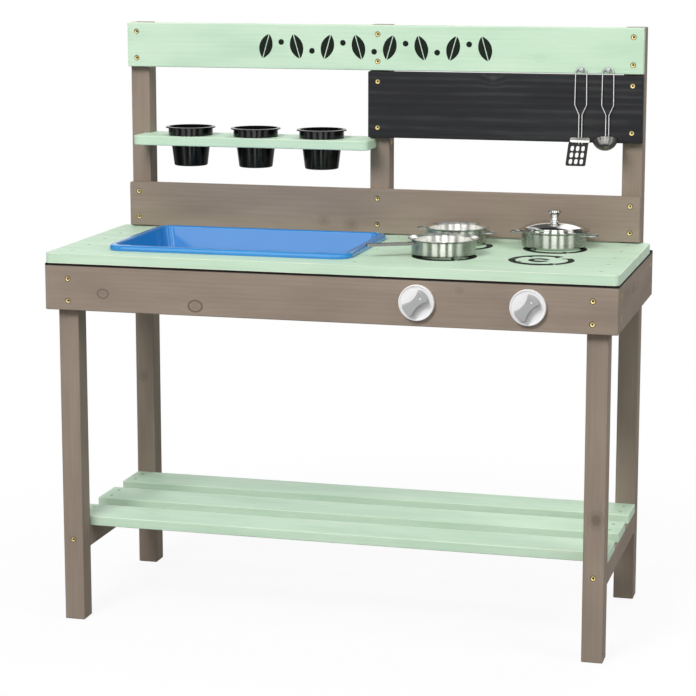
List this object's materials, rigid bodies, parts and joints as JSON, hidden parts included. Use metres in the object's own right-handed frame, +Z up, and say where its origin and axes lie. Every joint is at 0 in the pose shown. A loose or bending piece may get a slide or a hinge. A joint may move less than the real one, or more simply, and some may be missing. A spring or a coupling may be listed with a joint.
{
  "type": "mud kitchen",
  "caption": "Wooden outdoor play kitchen for children, with a worktop, a lift-out tray, turning knobs, planting cups on a shelf, play pans and hanging utensils.",
  "frame": {"origin": "centre of the bounding box on the floor, between the four feet", "axes": "+Z up, +Y to the rear boards, +X to the right as seen from the front with the knobs"},
  "size_m": [1.04, 0.4684, 1.087],
  "materials": {
    "wood_taupe": "grey-brown wood stain, matt, grain shows",
    "wood_mint": "pale mint-green wood paint, satin",
    "wood_black": "matt black chalk paint, grain shows",
    "tray_blue": "moulded blue plastic, semi-gloss",
    "cup_black": "moulded black plastic, glossy",
    "knob_white": "moulded white plastic, satin",
    "knob_grey": "moulded light grey plastic, satin",
    "zinc": "zinc-plated steel",
    "yellow_zinc": "yellow zinc-plated steel screws, shown as brass",
    "mint_screws": "screws painted over with the boards",
    "pan_steel": "stainless steel sheet, polished to a soft shine",
    "wire_steel": "polished stainless steel wire and sheet"
  },
  "bodies": {
    "frame": {"front_apron": "wood_taupe", "rear_apron": "wood_taupe", "side_apron_left": "wood_taupe", "side_apron_right": "wood_taupe", "front_leg_left": "wood_taupe", "front_leg_right": "wood_taupe", "rear_post_left": "wood_taupe", "rear_post_right": "wood_taupe", "middle_post": "wood_taupe", "backboard": "wood_taupe", "shelf_bearer_left": "wood_taupe", "shelf_bearer_right": "wood_taupe", "worktop_batten_left": "wood_taupe", "worktop_batten_middle": "wood_taupe", "worktop_batten_right": "wood_taupe", "worktop_plank_front": "wood_mint", "worktop_plank_second_left": "wood_mint", "worktop_plank_second_right": "wood_mint", "worktop_plank_third_left": "wood_mint", "worktop_plank_third_right": "wood_mint", "worktop_plank_fourth_left": "wood_mint", "worktop_plank_fourth_right": "wood_mint", "worktop_plank_rear": "wood_mint", "shelf_slat_front": "wood_mint", "shelf_slat_middle": "wood_mint", "shelf_slat_rear": "wood_mint", "header_board": "wood_mint", "cup_shelf": "wood_mint", "chalk_board": "wood_black", "screws_rear_boards": "yellow_zinc", "screws_aprons": "yellow_zinc", "screws_frame": "yellow_zinc", "utensil_hooks": "yellow_zinc", "screws_worktop": "mint_screws", "screws_shelf": "mint_screws"},
    "knob_left": {"knob_disc_left": "knob_white", "knob_grip_left": "knob_grey", "knob_bolt_left": "zinc", "knob_fixing_left": "zinc"},
    "knob_right": {"knob_disc_right": "knob_white", "knob_grip_right": "knob_grey", "knob_bolt_right": "zinc", "knob_fixing_right": "zinc"},
    "tray": {"sink_tray": "tray_blue"},
    "cup_left": {"cup_left": "cup_black"},
    "cup_middle": {"cup_middle": "cup_black"},
    "cup_right": {"cup_right": "cup_black"},
    "saucepan": {"saucepan_body": "pan_steel", "saucepan_handle": "pan_steel"},
    "open_pot": {"open_pot_body": "pan_steel", "open_pot_ears": "pan_steel"},
    "lidded_pot": {"lidded_pot_body": "pan_steel", "lidded_pot_ears": "pan_steel"},
    "lid": {"lid_dome": "pan_steel", "lid_knob": "pan_steel"},
    "turner": {"turner_handle": "wire_steel", "turner_blade": "wire_steel"},
    "ladle": {"ladle_handle": "wire_steel", "ladle_bowl": "wire_steel"}
  },
  "joints": [
    {"name": "knob_left_turn", "type": "hinge", "parent": "frame", "child": "knob_left", "pos_m": [0.1705, -0.21385, 0.6285], "axis": [0, 1, 0], "continuous": true},
    {"name": "knob_right_turn", "type": "hinge", "parent": "frame", "child": "knob_right", "pos_m": [0.3655, -0.21385, 0.6285], "axis": [0, 1, 0], "continuous": true},
    {"name": "tray_lift", "type": "slide", "parent": "frame", "child": "tray", "axis": [0, 0, 1], "range_m": [0, 0.105]},
    {"name": "cup_left_lift", "type": "slide", "parent": "frame", "child": "cup_left", "axis": [0, 0, 1], "range_m": [0, 0.09]},
    {"name": "cup_middle_lift", "type": "slide", "parent": "frame", "child": "cup_middle", "axis": [0, 0, 1], "range_m": [0, 0.09]},
    {"name": "cup_right_lift", "type": "slide", "parent": "frame", "child": "cup_right", "axis": [0, 0, 1], "range_m": [0, 0.09]},
    {"name": "saucepan_lift", "type": "slide", "parent": "frame", "child": "saucepan", "axis": [0, 0, 1], "range_m": [0, 0.15]},
    {"name": "open_pot_lift", "type": "slide", "parent": "frame", "child": "open_pot", "axis": [0, 0, 1], "range_m": [0, 0.15]},
    {"name": "lidded_pot_lift", "type": "slide", "parent": "frame", "child": "lidded_pot", "axis": [0, 0, 1], "range_m": [0, 0.04]},
    {"name": "lid_lift", "type": "slide", "parent": "lidded_pot", "child": "lid", "axis": [0, 0, 1], "range_m": [0, 0.035]},
    {"name": "turner_swing", "type": "hinge", "parent": "frame", "child": "turner", "pos_m": [0.388, 0.17415, 1.0095], "axis": [0, 1, 0], "range_deg": [-1, 45]},
    {"name": "ladle_swing", "type": "hinge", "parent": "frame", "child": "ladle", "pos_m": [0.438, 0.17415, 1.0095], "axis": [0, 1, 0], "range_deg": [-45, 1]}
  ]
}
